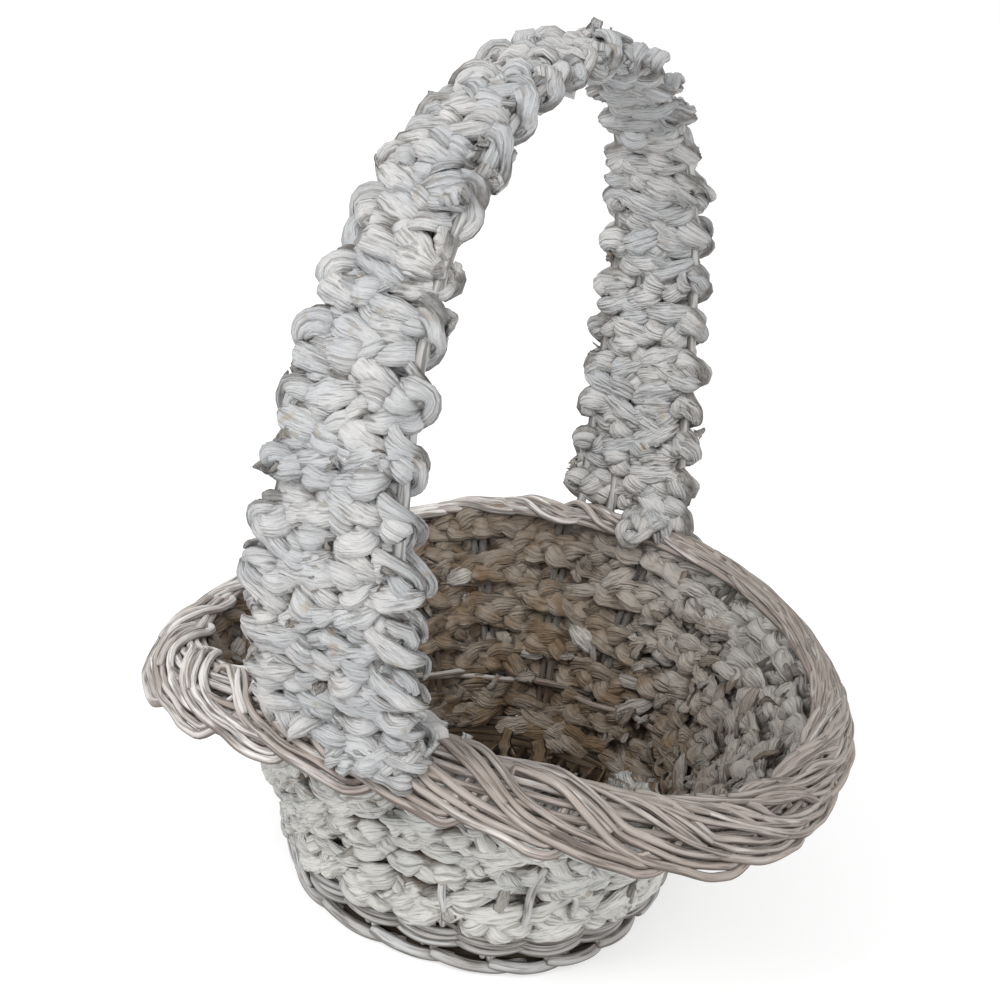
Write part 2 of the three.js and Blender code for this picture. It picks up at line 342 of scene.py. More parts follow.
def husk_folds(rng, far, sides):
    """How far a husk strand's skin stands from its mean, as a share: long sharp folds, and dents."""
    turn = corner_turns(sides)[None, :]
    far = far[:, None]
    lobes = rng.integers(6, 11)
    twist = rng.uniform(-0.06, 0.06)
    sway = 0.7 * np.sin(far / rng.uniform(5, 9) + rng.uniform(0, 6))
    folds = np.abs(np.sin(lobes / 2 * turn + twist * far + sway)) ** 0.5
    dents = np.zeros(folds.shape)
    for waves in (1, 2, 3):
        dents += np.sin(waves * turn + far / rng.uniform(1.8, 5.0) + rng.uniform(0, 6)) / waves
    return 1 + 0.5 * (folds - 0.78) + 0.14 * dents


RING_BLEND = 12  # a ring's folds change back to its first ones over this last stretch


def crumpled(middle, facing, wide, deep, rng, step, sides, closed=False):
    """The rings of a flat folded strand along its middle line, and how deep in a fold each corner lies, which
    the materials paint as shade.
    """
    across, through = framed(middle, facing, closed)
    turn = corner_turns(sides)
    share = husk_folds(rng, np.arange(len(middle)) * step, sides)
    if closed:
        to_start = (len(middle) - np.arange(len(middle))) * step
        blend = clamp(to_start / RING_BLEND)[:, None]
        share = share * blend + share[:1] * (1 - blend)
    x = 0.5 * wide[:, None] * (0.55 + 0.45 * share) * np.cos(turn)
    y = 0.5 * deep[:, None] * share * signed_power(np.sin(turn), 0.85)
    # The second value is painted shade in the fold valleys.
    return swept(middle, across, through, x, y), np.clip(2.2 * (0.98 - share), 0, 0.7)


STRAND_WIDTH = 0.6  # of the plait's width
STRAND_TILT = radians(30)  # how far a strand rolls over at the plait's edges


def plait(skin, path, face, rng, width, period, step, sides=20, depth=4.8, lift=2.0, closed=False, tan=None):
    """A three-strand husk plait along a path; face is the way its width lies, and the width may vary.

    tan gives the tan share from each ring's place and each corner's distance out of the plait.
    """
    ahead = slope(path, closed)
    normal = unit(np.cross(ahead, face))
    across = np.cross(normal, ahead)
    far = np.arange(len(path) + 1) * step
    if closed:
        period = far[-1] / round(far[-1] / period)
    strand = STRAND_WIDTH * np.broadcast_to(width, len(path))
    reach = (width - 0.8 * strand) / 2
    for k in range(3):
        loose = path_wobble(rng, far, 23, 0.3, closed)
        fat = 1 + path_wobble(rng, far, 17, 0.14, closed)
        stray = path_wobble(rng, far, 31, 0.7, closed)
        phase = 2 * pi * far[:-1] / period + 2 * pi * k / 3 + loose
        side = reach * np.sin(phase)
        rise = lift * np.sin(2 * phase) + stray
        middle = path + across * side[:, None] + normal * rise[:, None]
        tilt = STRAND_TILT * np.sin(phase)
        facing = normal * np.cos(tilt)[:, None] + across * np.sin(tilt)[:, None]
        petal = np.abs(np.sin(2 * phase)) ** 0.7
        wide = strand * fat * (0.72 + 0.4 * petal)
        deep = depth * fat * (0.85 + 0.2 * petal)
        rings, folded = crumpled(middle, facing, wide, deep, rng, step, sides, closed)
        proud = np.einsum("nsk,nk->ns", rings - path[:, None], normal)
        # Painted shade: corners near the plait's middle surface, between the strands, are darkened, and so
        # are the fold valleys.
        hidden = 1 - clamp((np.abs(proud) - 0.2 * lift) / (lift + 0.25 * depth))
        colour = 0.0 if tan is None else tan(rings, proud)
        skin.add(rings, far + 1000 * rng.uniform(), clamp(hidden + folded), rng.uniform(), colour, closed)


LEAF_STEP = 1.5
LEAF_SIDES = 16


def leaf(skin, points, facing, width, rng, tan=0.0):
    """One flat fold of husk, wide in the middle, with its ends tucked under its neighbours."""
    path = even_steps(spline(points, fine=6), LEAF_STEP)
    t = np.linspace(0, 1, len(path))
    belly = np.sin(pi * np.clip(t, 0.02, 0.98))
    wide = width * (0.25 + 0.75 * belly**0.65) * (1 + wobble(rng, t, 0.5, 0.08))
    rings, folded = crumpled(path, facing, wide, 0.34 * wide + 0.6, rng, LEAF_STEP, LEAF_SIDES)
    # Painted shade in the fold valleys and at the ends tucked under the neighbours.
    hidden = clamp(folded + 0.7 * (1 - belly[:, None]) ** 1.5)
    far = np.arange(len(path)) * LEAF_STEP
    skin.add(rings, far + 1000 * rng.uniform(), hidden, rng.uniform(), tan)


BLADE_STEPS = 9
# A scrap's cross-section: corners on its sheet's middle as [across, fold], and which face each one is on.
BLADE_OUTLINE = np.array(
    [(-1, 0.0), (-0.5, -0.5), (0, -1), (0.5, -0.5), (1, 0), (0.5, 0.0), (0, -0.4), (-0.5, 0.0)])
BLADE_FACES = np.array([0, -1, -1, -1, 0, 1, 1, 1])
BLADE_THICKNESS = 0.28


def blade(skin, root, lean, face, length, width, rng, curl, tan):
    """A loose scrap of husk: a thin curved leaf with a folded middle and a torn end."""
    lean = unit(np.asarray(lean, float))
    side = unit(np.cross(face, lean))
    up = np.cross(lean, side)
    t = np.linspace(0, 1, BLADE_STEPS)[:, None]
    bend = curl * rng.uniform(0.6, 1.4)
    sway = rng.uniform(-0.35, 0.35)
    onward = lean * (t - 0.25 * bend * t**2) + up * 0.6 * bend * t**2 + side * sway * t**2
    path = root + length * onward
    across, through = framed(path, up)
    spin = rng.uniform(-1.6, 1.6) * t
    wide = across * np.cos(spin) + through * np.sin(spin)
    thick = through * np.cos(spin) - across * np.sin(spin)
    shape = 0.5 * width * (0.45 + 0.75 * np.sin(pi * (0.15 + 0.62 * t)))[:, 0]
    fold = 0.22 * rng.uniform(-1, 1)
    ragged = 1 + 0.25 * rng.uniform(-1, 1, (BLADE_STEPS, 1))
    x = shape[:, None] * BLADE_OUTLINE[:, 0] * ragged
    y = shape[:, None] * BLADE_OUTLINE[:, 1] * fold * 2 + BLADE_THICKNESS * BLADE_FACES
    rings = swept(path, wide, thick, x, y)
    # Painted shade near the root, fading towards the torn end.
    skin.add(rings, travelled(path) + rng.uniform(0, 500), 0.3 * (1 - t), rng.uniform(), tan)


# ---- Materials ----
class Nodes:
    """Short calls for building a material's node tree."""

    def __init__(self, name):
        self.material = bpy.data.materials.new(name)
        self.material.use_nodes = True
        self.tree = self.material.node_tree
        self.shader = self.tree.nodes["Principled BSDF"]

    def add(self, kind, inputs=None, **settings):
        node = self.tree.nodes.new(kind)
        for key, value in settings.items():
            setattr(node, key, value)
        for key, value in (inputs or {}).items():
            self.set(node.inputs[key], value)
        return node

    def set(self, socket, value):
        if isinstance(value, bpy.types.NodeSocket):
            self.tree.links.new(value, socket)
        else:
            socket.default_value = value

    def plus(self, a, b):
        return self.add("ShaderNodeMath", {0: a, 1: b}, operation="ADD").outputs[0]

    def times(self, a, b, clamp=False):
        return self.add("ShaderNodeMath", {0: a, 1: b}, operation="MULTIPLY", use_clamp=clamp).outputs[0]

    def mix(self, share, a, b):
        node = self.add("ShaderNodeMix", data_type="RGBA")
        self.set(node.inputs[0], share)
        self.set(node.inputs[6], a)
        self.set(node.inputs[7], b)
        return node.outputs[2]

    def ramp(self, value, low, high):
        """0 below low and 1 above high."""
        node = self.add("ShaderNodeMapRange", {0: value, 1: low, 2: high}, interpolation_type="SMOOTHSTEP")
        return node.outputs[0]

    def noise(self, vector, scale=1.0, detail=3.0):
        return self.add("ShaderNodeTexNoise", {"Vector": vector, "Scale": scale, "Detail": detail}).outputs[0]

    def map(self, name):
        uv = self.add("ShaderNodeUVMap", uv_map=name)
        parts = self.add("ShaderNodeSeparateXYZ", {0: uv.outputs[0]})
        return parts.outputs[0], parts.outputs[1]

    def place(self):
        return self.add("ShaderNodeTexCoord").outputs["Object"]

    def surface(self, colour, roughness, specular, height, depth):
        """The material's colour and finish, with bumps of that depth."""
        bump = self.add("ShaderNodeBump", {"Height": height, "Distance": depth})
        values = {"Base Color": colour, "Roughness": roughness, "Specular IOR Level": specular,
                  "Normal": bump.outputs[0]}
        for key, value in values.items():
            self.set(self.shader.inputs[key], value)
        return self.material


def strand_maps(nodes):
    """What Skin.add wrote down: along, around, hidden, shade and tan."""
    along, around = nodes.map("fibre")
    hidden, shade = nodes.map("painted_shade_and_strand")
    tanned, _ = nodes.map("tone")
    return along, around, hidden, shade, tanned


def fibre_noise(nodes, along, around, shade, along_scale, around_scale, detail):
    """Noise stretched along a strand, so that it runs as fibres, and different for each strand."""
    x = nodes.times(along, along_scale)
    y = nodes.times(around, around_scale)
    z = nodes.times(shade, 37.0)
    place = nodes.add("ShaderNodeCombineXYZ", {0: x, 1: y, 2: z}).outputs[0]
    return nodes.noise(place, detail=detail)


def husk_material(name, light, cool, tan, deep):
    """Dry folded husk, brown where it is tan, with dark fibre lines and creases, and painted shade where it
    is hidden and in its fold valleys.
    """
    nodes = Nodes(name)
    along, around, hidden, shade, tanned = strand_maps(nodes)
    fibres = fibre_noise(nodes, along, around, shade, 0.09, 30.0, 4.0)
    creases = fibre_noise(nodes, along, around, shade, 0.06, 8.0, 3.0)
    blotch = nodes.noise(nodes.place(), 38.0)
    crumple = nodes.noise(nodes.place(), 330.0, 4.0)
    speck = nodes.noise(nodes.place(), 150.0)
    cooler = nodes.ramp(nodes.plus(blotch, nodes.times(shade, 0.2)), 0.42, 0.78)
    colour = nodes.mix(cooler, light, cool)
    uneven = nodes.ramp(nodes.noise(nodes.place(), 95.0), 0.3, 0.7)
    tanned = nodes.times(tanned, nodes.plus(nodes.times(uneven, 0.25), 0.75), clamp=True)
    colour = nodes.mix(tanned, colour, tan)
    line = nodes.times(nodes.ramp(fibres, 0.54, 0.68), 0.48)
    colour = nodes.mix(line, colour, deep)
    crack = nodes.times(nodes.ramp(creases, 0.6, 0.68), 0.4)
    colour = nodes.mix(crack, colour, deep)
    # Painted shade: hidden corners and fold valleys are darkened towards the deep colour, unevenly.
    uneven = nodes.plus(nodes.times(crumple, 0.9), 0.25)
    painted_shade = nodes.times(nodes.ramp(hidden, 0.3, 1.0), uneven)
    colour = nodes.mix(nodes.times(painted_shade, 0.85, clamp=True), colour, deep)
    spots = nodes.times(nodes.ramp(speck, 0.6, 0.7), nodes.ramp(blotch, 0.5, 0.6))
    colour = nodes.mix(nodes.times(spots, 0.45), colour, tan)
    height = nodes.plus(nodes.times(fibres, 0.7), creases)
    height = nodes.plus(height, nodes.times(crumple, 0.35))
    return nodes.surface(colour, roughness=0.85, specular=0.2, height=height, depth=0.0032)


TANNED_WILLOW = (0.11, 0.07, 0.04, 1)


def willow_material(name, paint, wood, dark, cover):
    """Painted rods with patches of bare wood, barer towards the basket's right-hand end as painted side
    shading, and painted shade where they are hidden.
    """
    nodes = Nodes(name)
    along, around, hidden, shade, tanned = strand_maps(nodes)
    grain = fibre_noise(nodes, along, around, shade, 0.045, 9.0, 4.0)
    patch = fibre_noise(nodes, along, around, shade, 0.035, 3.0, 3.0)
    blotch = nodes.noise(nodes.place(), 60.0)
    place = nodes.add("ShaderNodeSeparateXYZ", {0: nodes.place()})
    # Painted side shading: rods get barer and browner towards the right-hand end, away from the key light at
    # the left.
    right = nodes.times(nodes.ramp(place.outputs[0], -0.14, 0.12), 0.3)
    # Bare wood shows in random patches, and more of it towards the right as painted side shading.
    bare = nodes.plus(nodes.plus(patch, nodes.times(shade, 0.1)), right)
    bare = nodes.ramp(bare, cover, cover + 0.3)
    colour = nodes.mix(nodes.times(bare, 0.8), paint, wood)
    colour = nodes.mix(nodes.times(nodes.ramp(shade, 0.45, 1.0), 0.5), colour, wood)
    line = nodes.times(nodes.ramp(grain, 0.48, 0.62), 0.68)
    colour = nodes.mix(line, colour, dark)
    colour = nodes.mix(nodes.times(nodes.ramp(blotch, 0.45, 0.75), 0.18), colour, wood)
    # Painted shade where a rod is hidden or faces down.
    colour = nodes.mix(nodes.times(hidden, 0.85), colour, dark)
    colour = nodes.mix(nodes.times(tanned, 0.75), colour, TANNED_WILLOW)
    height = nodes.plus(grain, nodes.times(patch, 0.5))
    return nodes.surface(colour, roughness=0.65, specular=0.3, height=height, depth=0.0016)


painted_husk = husk_material(
    "painted_husk",
    light=(0.55, 0.54, 0.53, 1),
    cool=(0.46, 0.47, 0.48, 1),
    tan=(0.32, 0.24, 0.15, 1),
    deep=(0.085, 0.07, 0.055, 1),
)
bowl_husk = husk_material(
    "bowl_husk",
    light=(0.62, 0.61, 0.575, 1),
    cool=(0.51, 0.51, 0.495, 1),
    tan=(0.176, 0.121, 0.074, 1),
    deep=(0.05, 0.031, 0.017, 1),
)
painted_willow = willow_material(
    "painted_willow", (0.7, 0.68, 0.66, 1), (0.3, 0.25, 0.215, 1), (0.07, 0.05, 0.04, 1), cover=0.51)
white_willow = willow_material(
    "white_willow", (0.5, 0.5, 0.5, 1), (0.36, 0.34, 0.32, 1), (0.07, 0.06, 0.05, 1), cover=0.62)
bare_willow = willow_material(
    "bare_willow", (0.12, 0.073, 0.036, 1), (0.07, 0.045, 0.024, 1), (0.018, 0.011, 0.006, 1), cover=0.4)


# ---- Bowl ----
def layer_heights():
    """The middle height up the wall of each layer, as name to (up, phase)."""
    layers = {}
    reached = FIRST_LAYER_UP
    names = [(f"foot_wale_{i + 1}", FOOT_WALE) for i in range(FOOT_WALES)]
    names += [(f"husk_row_{i + 1}", HUSK_ROW) for i in range(ROWS_BELOW_WAIST)]
    names += [("waist_wale", WAIST_WALE)]
    names += [(f"husk_row_{i + 1}", HUSK_ROW) for i in range(ROWS_BELOW_WAIST, HUSK_ROWS)]
    for phase, (name, layer) in enumerate(names):
        layers[name] = ((reached + layer["height"] / 2) / WALL_LENGTH, phase % 2)
        reached += layer["height"] + layer["space"]
    return layers


layers = layer_heights()


def woven_path(up, phase, reach, rng, sway=0.0, sharp=0.6):
    """A ring that passes outside one stake pair and inside the next, with the wall's climb beside it."""
    turns = np.linspace(0, 1, STAKES * 24, endpoint=False)
    angle = foot_angle(turns)
    side = np.cos(pi * (turns * STAKES - 0.5 + phase + 1))
    height = up + ring_wobble(rng, turns, 13, sway) / WALL_LENGTH
    _, climb, out = wall_frame(height, angle)
    path = wall_point(height, angle) + out * (reach * signed_power(side, sharp))[:, None]
    return np.hstack([path, climb])


def falling(values, high, low):
    """1 at low and below, 0 at high and above."""
    return clamp((high - values) / (high - low))


def inside_tan(rings, proud):
    """Husk is tan where it faces into the bowl, most of all low down and to the left."""
    inward = clamp(0.55 - proud / 3.0)
    depth = falling(rings[..., 2], 112, 37)
    right = clamp((rings[..., 0] + 20) / 110)
    return inward * clamp(0.9 + 0.45 * depth - 0.74 * right * (1 - 0.7 * depth))


def handle_tan(rings, proud):
    """The far foot's husk is a little tan."""
    return 0.11 * clamp(rings[..., 1] / 60) * falling(rings[..., 2], 270, 160)


def rod_tan(rings):
    """Rods are brown towards the middle of the bowl and low down in it."""
    middle = rings.mean(axis=1, keepdims=True)
    inward = np.hypot(middle[..., 0], middle[..., 1]) - np.hypot(rings[..., 0], rings[..., 1])
    depth = falling(rings[..., 2], 72, 42)
    return clamp(0.55 + inward / 1.5) * depth


# Places along a fold, as shares of its length, and how far out it arches at each.
FOLD_ALONG = np.array([-0.5, -0.28, 0.05, 0.34, 0.5])[:, None]
FOLD_ARCH = np.array([-0.9, 0.5, 1.0, 0.5, -0.9])[:, None]


def wall_leaf(skin, rng, up, angle, outward, length, tilt, width, tan=0.0):
    """A fold of husk lying on the bowl's wall, slanting up it; inside the bowl when outward is negative."""
    around, climb, out = wall_frame(up, angle)
    face = np.sign(outward)
    middle = wall_point(up, angle) + out * outward
    run = length * FOLD_ALONG
    fall = (run * cos(tilt)) ** 2 / 200
    points = middle + run * (around * cos(tilt) + climb * sin(tilt)) + out * (2.0 * face * FOLD_ARCH - fall)
    leaf(skin, points, face * out, width, rng, tan)


ROW_STEP = 1.55
ROW_RAISED = {1: 4.4, 2: 2.0}  # how far the lowest rows' husk stands above their middle heights
TOP_COURSE = 12.5  # a second plait this far above the last row closes the gap under the rim


def add_husk_rows():
    """Each row is a plait round the stakes; folds of husk hide most of the stakes outside."""
    for row in range(1, HUSK_ROWS + 1):
        name = f"husk_row_{row}"
        rng = np.random.default_rng(100 + row)
        up, phase = layers[name]
        up += ROW_RAISED.get(row, 0) / WALL_LENGTH
        skin = Skin()
        for order, lift in enumerate((0, TOP_COURSE) if row == HUSK_ROWS else (0,)):
            path = woven_path(up, (phase + order) % 2, 3.4, rng, 1.1)
            path[:, :3] += lift * path[:, 3:]
            path = even_steps(path, ROW_STEP, closed=True)
            plait(skin, path[:, :3], path[:, 3:], rng, 15.0 if row == 1 else 17.0, 42, ROW_STEP,
                  sides=18, lift=1.7, closed=True, tan=inside_tan)
        for k in range(STAKES):
            add_row_folds(skin, rng, up, k, row == ROWS_BELOW_WAIST, covered=(k + phase) % 2 == 1)
        if row == 1:
            add_floor_edge(skin)
        skin.build(f"{name}_plait", bowl_husk, name)


def add_row_folds(skin, rng, up, k, below_waist, covered):
    """Folds near one stake pair: over the bare stakes, between this row and the next, and inside the bowl."""
    if not covered and rng.uniform() < 0.88:
        place = foot_angle((k + 0.5 + rng.uniform(-0.12, 0.12)) / STAKES)
        tilt = radians(rng.uniform(12, 38))
        wall_leaf(skin, rng, up, place, 3.2, rng.uniform(25, 33), tilt, rng.uniform(9, 12))
    half = HUSK_ROW["height"] / 2
    above = half + WAIST_WALE["height"] / 2 if below_waist else half
    for shift in (-0.25, 0.25):
        if rng.uniform() < (0.9 if below_waist else 0.55):
            place = foot_angle((k + shift + rng.uniform(-0.15, 0.15)) / STAKES)
            tilt = radians(rng.uniform(-10, 45))
            between = up + (above + rng.uniform(-1, 1)) / WALL_LENGTH
            wall_leaf(skin, rng, between, place, 3.6, rng.uniform(20, 28), tilt, rng.uniform(7.5, 10.5))
    if rng.uniform() < 0.5 and not below_waist:
        place = foot_angle((k + rng.uniform(-0.4, 0.4)) / STAKES)
        tilt = radians(rng.uniform(-50, 50))
        tan = rng.uniform(0.4, 1.0)
        below = up - (half + rng.uniform(-1, 1)) / WALL_LENGTH
        wall_leaf(skin, rng, below, place, -3.4, rng.uniform(14, 24), tilt, rng.uniform(6, 10), tan)


def add_floor_edge(skin):
    """Folds of brown husk inside the bowl where its wall meets the floor."""
    rng = np.random.default_rng(131)
    for _ in range(90):
        up = rng.uniform(0.06, 0.16)
        angle = rng.uniform(0, 2 * pi)
        tilt = radians(rng.uniform(-40, 40))
        tan = rng.uniform(0.8, 1.2)
        wall_leaf(skin, rng, up, angle, -4.2, rng.uniform(18, 28), tilt, rng.uniform(8, 11), tan)


# Each willow course, as [above its layer's middle, half the gap between its rods, radius, inward, material].
WALES = {
    "foot_wale_1": (4.3, 0.6, 1.65, 0.0, white_willow),
    "foot_wale_2": (4.2, 0.6, 1.65, 0.0, white_willow),
    "foot_wale_3": (4.0, 0.6, 1.6, 0.0, white_willow),
    "waist_wale": (0.0, 1.5, 1.6, 3.4, painted_willow),
}


def add_wales():
    """Each course is two thin rods that change sides at every stake pair."""
    rng = np.random.default_rng(31)
    for name, (higher, spread, radius, inward, material) in WALES.items():
        skin = Skin()
        for phase, lift in ((0, higher - spread), (1, higher + spread)):
            up = layers[name][0] + lift / WALL_LENGTH
            path = woven_path(up, phase, 3.1, rng, 0.4, 0.8)
            _, _, out = wall_frame(up, foot_angle(np.linspace(0, 1, len(path), endpoint=False)))
            path = path[:, :3] - inward * out
            rod(skin, path[::3], radius, rng, closed=True, hidden=0.1, fine=4, tan=rod_tan)
        skin.build(f"{name}_rods", material, name)


def add_stakes():
    """Pairs of rods that go up the wall and on into the rim."""
    rng = np.random.default_rng(41)
    into_rim = 7
    up = np.linspace(0, 1, 14)
    for k in range(STAKES):
        skin = Skin()
        angle = foot_angle((k + 0.5) / STAKES)
        around, climb, out = wall_frame(up, angle)
        for side in (-1, 1):
            aside = side * (0.6 * STAKE_ROD + wobble(rng, up, 0.5, 0.25))
            path = wall_point(up, angle) + around * aside[:, None]
            path = np.vstack([path, path[-1:] + into_rim * climb[-1:]])
            rod(skin, path, STAKE_ROD / 2, rng, normal=out[7], hidden=0.1, tan=rod_tan)
        number = f"{k + 1:02d}"
        skin.build(f"stakes_{number}", white_willow, f"stake_pair_{number}")


# ---- Foot and base ----
FOOT_ROD = 2.8  # radii
POST_ROD = 2.0
FOOT_RING_ROD = 2.3
# A foot rod's way round the foot and its upright end, as [stake spacings, out from the foot's edge, height].
FOOT_COURSE = [
    (0.0, 0.6, 6.3), (0.12, 0.7, 5.9), (0.3, 0.6, 4.7), (0.55, 0.3, 3.5), (0.8, 0, 3.1), (1.0, -0.9, 3.05),
    (1.2, -2.6, 3.05), (1.4, -5.5, 3.05),
]
FOOT_POST = [(-0.03, -3.5, 17), (-0.01, -1.6, 11), (0.03, -1.0, 6.0)]
# Rings behind the foot's rods, which fill its openings with painted shade, and rings round the base, as
# [inset, height].
FOOT_RINGS = [(8.8, 3.0), (8.6, 6.6), (8.2, 10.2), (7.6, 13.8), (6.6, 17.2), (5.8, 20.2)]
BASE_RINGS = [(11, 9.5), (9.5, 12.5), (7.5, 15.5)]


def foot_oval(inset, height, angle):
    return oval(FOOT["half_x"] - inset, FOOT["half_y"] - inset, height, 0, angle)


def add_rings(skin, rng, places, hidden):
    angles = foot_angle(np.linspace(0, 1, 60, endpoint=False))
    for inset, height in places:
        rod(skin, foot_oval(inset, height, angles), FOOT_RING_ROD, rng, closed=True, hidden=hidden)


def add_foot():
    """Thick rods with cut ends that run round the foot, each one's tail under the next one's end."""
    rng = np.random.default_rng(51)
    skin = Skin()
    for k in range(STAKES):
        longer = rng.uniform(-0.1, 0.15)
        shift = rng.uniform(-0.14, 0.14)
        for places, radius in ((FOOT_COURSE, FOOT_ROD * rng.uniform(0.88, 1.02)), (FOOT_POST, POST_ROD)):
            points = []
            for spacings, outward, height in places:
                angle = foot_angle((k + 0.5 + shift + spacings * (1 + longer)) / STAKES)
                point = foot_oval(FOOT_ROD - outward, height, angle)
                points.append(point + [0, 0, rng.uniform(-0.12, 0.12)])
            rod(skin, points, radius, rng, sides=12, hidden=0.05)
    skin.build("foot_rods", white_willow, "foot_border")
    # Dark rings behind the foot's rods: painted shade in the openings between them.
    skin = Skin()
    add_rings(skin, rng, FOOT_RINGS, hidden=1.0)
    skin.build("foot_shade_rods", bare_willow, "foot_border")


def oval_reach(share):
    """How far an oval reaches at that share of its other half width, as a share of this one."""
    return (1 - abs(share) ** OVAL_POWER) ** (1 / OVAL_POWER)


def add_base():
    """Five sticks with thin rods woven over and under them."""
    rng = np.random.default_rng(61)
    stick_radius = 2.2
    weft_radius = 2.1
    wefts = 40
    level = 7.2
    half_x, half_y = FOOT["half_x"] - 10, FOOT["half_y"] - 10
    for i in range(BASE_STICKS):
        y = (i - (BASE_STICKS - 1) / 2) * BASE_SPACING
        reach = half_x * oval_reach(y / half_y)
        skin = Skin()
        for side in (-2.0, 2.0):
            points = [(x, y + side, level) for x in np.linspace(-reach, reach, 6)]
            rod(skin, points, stick_radius, rng, hidden=0.3)
        skin.build(f"base_stick_rods_{i + 1}", bare_willow, f"base_stick_{i + 1}")
    skin = Skin()
    for i in range(wefts):
        x = ((i + 0.5) / wefts - 0.5) * 2 * (half_x - 1)
        reach = half_y * oval_reach(x / half_x)
        y = np.linspace(-reach, reach, 41)
        over = np.cos(pi * y / BASE_SPACING + pi * (i % 2))
        wave = (stick_radius + weft_radius - 0.5) * signed_power(over, 0.7)
        points = np.stack([x + wobble(rng, y, 60, 0.4), y, level + wave], axis=1)
        rod(skin, points, weft_radius, rng, hidden=0.35, sides=8, fine=3)
    add_rings(skin, rng, BASE_RINGS, hidden=0.3)
    skin.build("base_weave", bare_willow, "base_mat")


# ---- Rim ----
rim_angle = even_angle(*((RIM_INNER[half] + RIM_OUTER[half]) / 2 for half in ("half_x", "half_y")))
RIM_ARCH = radians(55)  # how far the rim's back rolls over at its edges
RIM_LIFT = 2.2  # how far the strands rise over one another
RIM_START = 0.35  # where the first crossing falls, in crossings
# The rim's right-hand and left-hand end, as [share of the way round, reach, pull].
RIM_ENDS = [(0.08, 0.17, 0.42), (0.42, 0.14, 0.75)]


def nearness(turns, place, reach):
    """1 at a place on the ring, falling to 0 at that reach to either side of it."""
    return clamp(1 - np.abs(np.mod(turns - place + 0.5, 1) - 0.5) / reach)


def end_pull(turns):
    """Rises towards the rim's two drooping ends, where the plait is narrower and flatter."""
    return np.max([most * nearness(turns, place, reach) for place, reach, most in RIM_ENDS], axis=0)


def rim_edge(edge, turns):
    return oval(edge["half_x"], edge["half_y"], edge["height"], RIM_DROOP, rim_angle(turns))


def rim_place(turns, side):
    """A place on the rim's rounded back and the way out of it; side runs from -1 inside to 1 outside."""
    pull = end_pull(turns)
    side = np.where(side < 0, side * (1 - pull), side)
    inner, outer = rim_edge(RIM_INNER, turns), rim_edge(RIM_OUTER, turns)
    middle = (inner + outer) / 2
    across = outer - inner
    half = np.linalg.norm(across, axis=-1, keepdims=True) / 2
    across = across / (2 * half)
    step = 0.002
    ahead = rim_edge(RIM_INNER, turns + step) - rim_edge(RIM_INNER, turns - step)
    above = unit(np.cross(across, ahead))
    roll = side[..., None] * RIM_ARCH
    bend = half / sin(RIM_ARCH)
    flat = 1 - 1.25 * pull[..., None]
    bulge = (np.cos(roll) - 0.5 * (1 + cos(RIM_ARCH))) * flat
    place = middle + bend * (across * np.sin(roll) + above * bulge)
    facing = unit(across * np.sin(roll) + above * np.cos(roll))
    return place, facing


# One cycle of a rim strand as [share of the cycle, side, rise]: on top from the inner edge to past the
# middle, under the next strand's outer run, along the outer edge on top, and back under to the inner edge.
RIM_CYCLE = [
    (0.0, -0.84, 0.3), (0.09, -0.74, 0.9), (0.2, -0.36, 1.1), (0.29, 0.06, 0.7), (0.36, 0.36, -0.2),
    (0.44, 0.54, -0.3), (0.53, 0.68, 0.35), (0.63, 0.8, 0.45), (0.73, 0.92, 0.3), (0.81, 0.93, 0.0),
    (0.86, 0.55, -0.9), (0.9, -0.1, -1.4), (0.945, -0.7, -0.8),
]


def rim_strand(strand, turns):
    """A strand's side, rise and how tightly its rods lie, at each place along the rim."""
    cycle = np.mod(RIM_TURNS * turns + (strand + RIM_START) / 3, 1)
    keys = np.array(RIM_CYCLE)
    curve = spline(np.vstack([keys, keys[:1] + [1, 0, 0], keys[1:2] + [1, 0, 0]]), fine=10)
    side, rise = (np.interp(cycle, curve[:, 0], curve[:, i]) for i in (1, 2))
    side = np.where(side < 0, side * (1 - 0.4 * nearness(turns, 0.1, 0.15)), side)
    return side, RIM_LIFT * rise, 1 - 0.3 * clamp(side)


def rim_line(turns, side, rise):
    """Points on the rim's back, raised from it."""
    place, facing = rim_place(turns, side)
    return place + facing * (np.asarray(rise) * (1 - end_pull(turns)))[:, None]


# Steady rods under each strand's crossings, as [side, rise, radius]; they fill the plait's openings.
RIM_UNDERLAY = [
    [(0.97, -2.4, 1.9), (-0.98, -0.9, 1.8), (-0.78, 0.15, 1.75)],
    [(0.75, -1.6, 1.8), (-0.56, -0.2, 1.8), (-0.34, -0.9, 1.75)],
    [(0.5, -2.2, 1.8), (0.22, -1.6, 1.8), (-0.1, -1.3, 1.8)],
]


STRAND_RODS = (2.0, 1.8, 1.95)  # radii, from a strand's inner side to its outer side
STRAND_SPACING = 4.7


